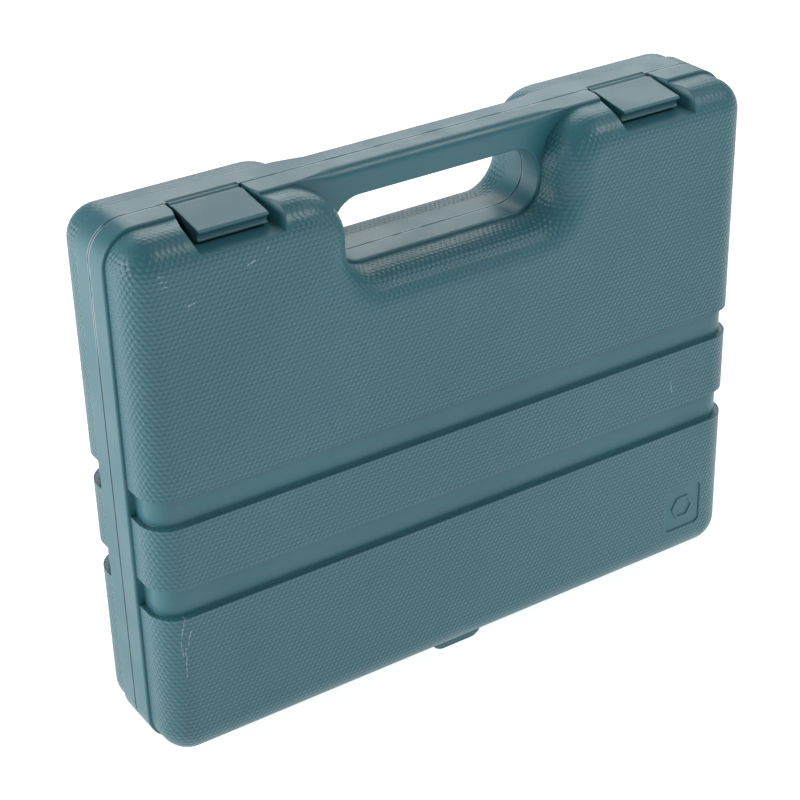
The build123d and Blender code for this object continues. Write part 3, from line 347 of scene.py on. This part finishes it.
# ------------------------------------------------------------------ inside plastics and rubber
def moulded_plastic(name, colour, low_rough, high_rough, grain_size, grain_height):
    """Dull plastic or rubber with a fine grain, cloudy shade and a little dust."""
    tree = Tree(name)
    cloud = tree.ramp(tree.noise(14.0, 3.0), 0.3, 0.7)
    shade = tree.mix(cloud, rgba(colour, 0.85), rgba(colour, 1.25))
    dust = tree.ramp(tree.noise(420.0, 3.0, 0.7), 0.62, 0.75)
    shade = tree.mix(tree.math("MULTIPLY", dust, 0.12), shade, rgba((0.30, 0.30, 0.29)))
    roughness = tree.ramp(tree.noise(60.0, 4.0), 0.3, 0.7, low_rough, high_rough)
    return tree.finish(shade, roughness, tree.bump(tree.noise(grain_size, 3.0), grain_height))


# ------------------------------------------------------------------ metals
BRUSH_HEIGHT = 0.00001


def metal(name, colour, low_rough, high_rough, brush):
    """Metal with brushing along one direction, finger marks and faint tarnish."""
    tree = Tree(name)
    marks = tree.ramp(tree.noise(45.0, 4.0, 0.6), 0.35, 0.7)
    shade = tree.mix(marks, rgba(colour, 0.86), rgba(colour))
    roughness = tree.ramp(tree.noise(70.0, 5.0, 0.65), 0.3, 0.7, low_rough, high_rough)
    lines = tree.noise(900.0, 2.0, 0.5, brush)
    return tree.finish(shade, roughness, tree.bump(lines, BRUSH_HEIGHT, 0.7), Metallic=1.0)


def give(material, *nodes):
    """Put a material on CAD nodes."""
    for node in nodes:
        mesh = frame["nodes"][node].data
        mesh.materials.clear()
        mesh.materials.append(material)


slot_nodes = {}
for entry in frame["record"]["subparts"]:
    slot_nodes.setdefault(entry["material_slot"], []).append(entry["node"])

materials = {
    "case": case_plastic(True),
    "latch": case_plastic(False),
    "tray": moulded_plastic("black_tray_plastic", (0.030, 0.034, 0.038), 0.42, 0.58, 700.0, 0.00006),
    "grip": moulded_plastic("black_grip_rubber", (0.022, 0.023, 0.025), 0.55, 0.75, 1100.0, 0.00008),
    "insert": moulded_plastic("soft_insert_rubber", (0.018, 0.018, 0.019), 0.7, 0.85, 900.0, 0.00006),
    "chrome": metal("satin_chrome", (0.80, 0.81, 0.82), 0.14, 0.30, (1.0, 0.05, 1.0)),
    "steel": metal("turned_steel", (0.56, 0.56, 0.57), 0.22, 0.40, (1.0, 0.05, 1.0)),
    "black_steel": metal("blackened_steel", (0.08, 0.08, 0.085), 0.35, 0.55, (1.0, 1.0, 1.0)),
    "spring": metal("spring_wire", (0.42, 0.42, 0.44), 0.28, 0.42, (1.0, 1.0, 1.0)),
    "pin": metal("drawn_pin_steel", (0.48, 0.48, 0.49), 0.25, 0.42, (0.05, 1.0, 1.0)),
}
for slot, material in materials.items():
    give(material, *slot_nodes[slot])


# ------------------------------------------------------------------ smooth shading on curved CAD faces
for node in frame["nodes"].values():
    node.data.polygons.foreach_set("use_smooth", [True] * len(node.data.polygons))

for side in ("left", "right"):
    rounded = frame["nodes"][f"latch_{side}"].modifiers.new("rounded_edges", "BEVEL")
    rounded.width = LATCH_EDGE
    rounded.segments = 3
    rounded.limit_method = "ANGLE"
    rounded.angle_limit = LATCH_EDGE_ANGLE


# ------------------------------------------------------------------ floor, light, camera
def floor():
    mesh = bpy.data.meshes.new("floor")
    corners = [(-FLOOR_SIZE, -FLOOR_SIZE, 0), (FLOOR_SIZE, -FLOOR_SIZE, 0),
               (FLOOR_SIZE, FLOOR_SIZE, 0), (-FLOOR_SIZE, FLOOR_SIZE, 0)]
    mesh.from_pydata(corners, [], [(0, 1, 2, 3)])
    thing = bpy.data.objects.new("floor", mesh)
    bpy.context.scene.collection.objects.link(thing)
    tree = Tree("pale_floor")
    material = tree.finish((FLOOR_GREY, FLOOR_GREY, FLOOR_GREY, 1.0), 0.9, Emission_Strength=FLOOR_GLOW)
    tree.shader.inputs["Emission Color"].default_value = (1.0, 1.0, 1.0, 1.0)
    mesh.materials.append(material)


def softbox(name, place, aim, width, height, watts):
    """A soft rectangular light that faces its aim."""
    data = bpy.data.lights.new(name, "AREA")
    data.shape = "RECTANGLE"
    data.size, data.size_y = width, height
    data.energy = watts
    lamp = bpy.data.objects.new(name, data)
    bpy.context.scene.collection.objects.link(lamp)
    lamp.location = place
    lamp.rotation_mode = "QUATERNION"
    lamp.rotation_quaternion = (Vector(aim) - Vector(place)).to_track_quat("-Z", "Y")


def camera():
    data = bpy.data.cameras.new("camera")
    data.lens = CAMERA_LENS
    data.sensor_width = SENSOR
    thing = bpy.data.objects.new("camera", data)
    bpy.context.scene.collection.objects.link(thing)
    azimuth, elevation = CAMERA_AZIMUTH, CAMERA_ELEVATION
    back = Vector((math.sin(azimuth) * math.cos(elevation), -math.cos(azimuth) * math.cos(elevation),
                   math.sin(elevation)))
    right = Vector((0, 0, 1)).cross(back).normalized()
    up = back.cross(right)
    rolled_right = right * math.cos(CAMERA_ROLL) + up * math.sin(CAMERA_ROLL)
    rolled_up = up * math.cos(CAMERA_ROLL) - right * math.sin(CAMERA_ROLL)
    turn = Matrix((rolled_right, rolled_up, back)).transposed()
    thing.matrix_world = Matrix.Translation(CAMERA_AT) @ turn.to_4x4()
    bpy.context.scene.camera = thing


def world():
    scene_world = bpy.data.worlds.new("studio")
    scene_world.use_nodes = True
    background = scene_world.node_tree.nodes["Background"]
    background.inputs["Color"].default_value = SKY_COLOUR
    background.inputs["Strength"].default_value = SKY_STRENGTH
    bpy.context.scene.world = scene_world


floor()
world()
for box in SOFTBOXES:
    softbox(*box)
camera()
bpy.context.scene.view_settings.view_transform = "Standard"
